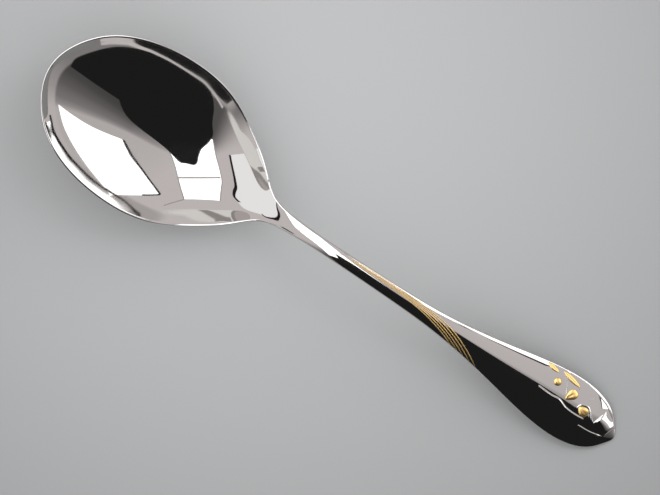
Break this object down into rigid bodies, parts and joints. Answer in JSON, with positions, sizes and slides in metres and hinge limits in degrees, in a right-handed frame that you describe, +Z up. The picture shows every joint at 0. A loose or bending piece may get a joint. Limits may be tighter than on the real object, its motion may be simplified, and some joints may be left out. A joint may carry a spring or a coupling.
{
  "type": "serving spoon",
  "caption": "Polished steel serving spoon with a deep pointed oval bowl, a raised slim neck, a domed pear-shaped handle end and a raised gold sprig with flowing lines.",
  "frame": {"origin": "centre of the bounding box's bottom face: on the table, under the middle of the spoon's length", "axes": "+X from the bowl towards the handle's end, +Y to the side that carries the gold sprig, +Z up, out of the bowl"},
  "size_m": [0.235, 0.058, 0.0278],
  "materials": {
    "polished_steel": "polished",
    "gold_plate": "polished"
  },
  "bodies": {
    "root": {"spoon_body": "polished_steel", "gold_line_1": "gold_plate", "gold_line_2": "gold_plate", "gold_line_3": "gold_plate", "gold_line_4": "gold_plate", "gold_line_5": "gold_plate", "gold_upper_leaf": "gold_plate", "gold_long_leaf": "gold_plate", "gold_round_bud": "gold_plate", "gold_heart_bud": "gold_plate", "gold_end_bud": "gold_plate"}
  },
  "joints": []
}
